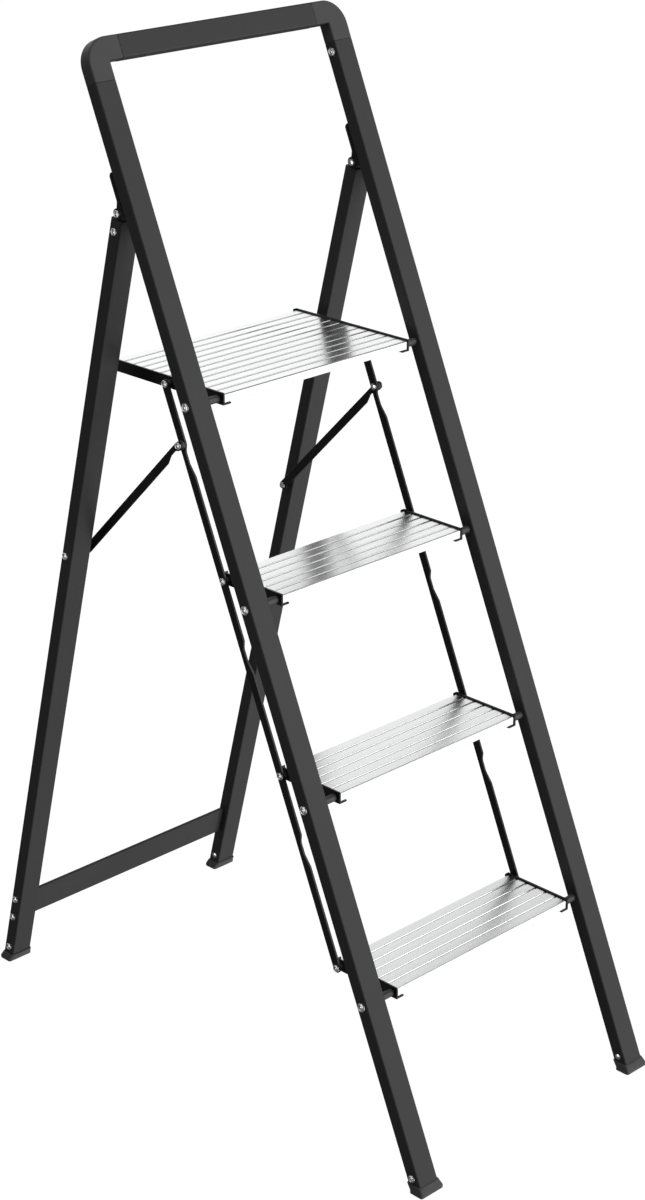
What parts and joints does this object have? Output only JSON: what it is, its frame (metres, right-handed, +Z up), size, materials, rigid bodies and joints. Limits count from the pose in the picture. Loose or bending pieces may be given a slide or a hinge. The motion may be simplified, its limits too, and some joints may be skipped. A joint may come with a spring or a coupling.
{
  "type": "platform step ladder",
  "caption": "Folding step ladder with grooved aluminium treads and a deep top platform between dark box-section rails, a rear frame on a top hinge, and a side linkage that folds it.",
  "frame": {"origin": "on the floor under the middle of the open ladder, at the bottom centre of its bounding box", "axes": "+X to the right of a person who faces the ladder to climb it, +Y away from that person, towards the rear legs, +Z up"},
  "size_m": [0.471, 0.8974, 1.4427],
  "materials": {
    "frame_coat": "satin dark grey powder coat on drawn tube",
    "corner_plastic": "fine-textured moulded dark grey plastic",
    "linkage_coat": "satin black coat on pressed strip and sheet steel",
    "tread_aluminium": "bright silver anodised extrusion with fine lengthwise die lines",
    "rivet_steel": "bright zinc-plated steel",
    "foot_rubber": "matt dark grey rubber"
  },
  "bodies": {
    "front_frame": {"top_bar": "frame_coat", "rail_left": "frame_coat", "rail_right": "frame_coat", "top_corner_left": "corner_plastic", "top_corner_right": "corner_plastic", "front_foot_left": "foot_rubber", "front_foot_right": "foot_rubber", "hinge_bracket_left": "linkage_coat", "hinge_bracket_right": "linkage_coat", "hinge_bolt_left": "rivet_steel", "hinge_bolt_right": "rivet_steel", "front_foot_rivet_left": "rivet_steel", "front_foot_rivet_right": "rivet_steel", "step_1_pivot_left": "rivet_steel", "step_1_pivot_right": "rivet_steel", "step_2_pivot_left": "rivet_steel", "step_2_pivot_right": "rivet_steel", "step_3_pivot_left": "rivet_steel", "step_3_pivot_right": "rivet_steel", "platform_pivot_left": "rivet_steel", "platform_pivot_right": "rivet_steel"},
    "rear_frame": {"rear_crossbar": "frame_coat", "rear_leg_left": "frame_coat", "rear_leg_right": "frame_coat", "rear_foot_left": "foot_rubber", "rear_foot_right": "foot_rubber", "hinge_plug_left": "corner_plastic", "hinge_plug_right": "corner_plastic", "brace_bush_left": "rivet_steel", "brace_bush_right": "rivet_steel", "rear_foot_rivet_left": "rivet_steel", "rear_foot_rivet_right": "rivet_steel"},
    "step_1": {"step_1_tread": "tread_aluminium", "step_1_bracket_left": "linkage_coat", "step_1_bracket_right": "linkage_coat", "step_1_joint_left": "rivet_steel", "step_1_joint_right": "rivet_steel"},
    "step_2": {"step_2_tread": "tread_aluminium", "step_2_bracket_left": "linkage_coat", "step_2_bracket_right": "linkage_coat", "step_2_joint_left": "rivet_steel", "step_2_joint_right": "rivet_steel"},
    "step_3": {"step_3_tread": "tread_aluminium", "step_3_bracket_left": "linkage_coat", "step_3_bracket_right": "linkage_coat", "step_3_joint_left": "rivet_steel", "step_3_joint_right": "rivet_steel"},
    "platform": {"platform_tread": "tread_aluminium", "platform_bracket_left": "linkage_coat", "platform_bracket_right": "linkage_coat", "platform_joint_left": "rivet_steel", "platform_joint_right": "rivet_steel"},
    "linkage": {"link_bar_left": "linkage_coat", "link_bar_right": "linkage_coat", "brace_bolt_left": "rivet_steel", "brace_bolt_right": "rivet_steel"},
    "braces": {"brace_left": "linkage_coat", "brace_right": "linkage_coat", "brace_rivet_left": "rivet_steel", "brace_rivet_right": "rivet_steel"}
  },
  "joints": [
    {"name": "rear_frame_hinge", "type": "hinge", "parent": "front_frame", "child": "rear_frame", "pos_m": [0, 0.11844, 1.22725], "axis": [-1, 0, 0], "range_deg": [0, 31.9]},
    {"name": "step_1_pivot", "type": "hinge", "parent": "front_frame", "child": "step_1", "pos_m": [0, -0.33131, 0.242], "axis": [1, 0, 0], "range_deg": [0, 61.7]},
    {"name": "step_2_pivot", "type": "hinge", "parent": "front_frame", "child": "step_2", "pos_m": [0, -0.22321, 0.493], "axis": [1, 0, 0], "range_deg": [0, 61.7]},
    {"name": "step_3_pivot", "type": "hinge", "parent": "front_frame", "child": "step_3", "pos_m": [0, -0.11511, 0.744], "axis": [1, 0, 0], "range_deg": [0, 61.7]},
    {"name": "platform_pivot", "type": "hinge", "parent": "front_frame", "child": "platform", "pos_m": [0, -0.00701, 0.995], "axis": [1, 0, 0], "range_deg": [0, 61.7]},
    {"name": "link_bar_pivot", "type": "hinge", "parent": "platform", "child": "linkage", "pos_m": [0, 0.08819, 0.995], "axis": [-1, 0, 0], "range_deg": [0, 61.7]},
    {"name": "brace_pivot", "type": "hinge", "parent": "linkage", "child": "braces", "pos_m": [0, 0.05528, 0.91858], "axis": [-1, 0, 0], "range_deg": [0, 53.2]}
  ],
  "couplings": [
    {"joint": "step_1_pivot", "follows": "rear_frame_hinge", "ratio": 1.9341},
    {"joint": "step_2_pivot", "follows": "rear_frame_hinge", "ratio": 1.9341},
    {"joint": "step_3_pivot", "follows": "rear_frame_hinge", "ratio": 1.9341},
    {"joint": "platform_pivot", "follows": "rear_frame_hinge", "ratio": 1.9341},
    {"joint": "link_bar_pivot", "follows": "rear_frame_hinge", "ratio": 1.9341},
    {"joint": "brace_pivot", "follows": "rear_frame_hinge", "ratio": 1.6677}
  ]
}
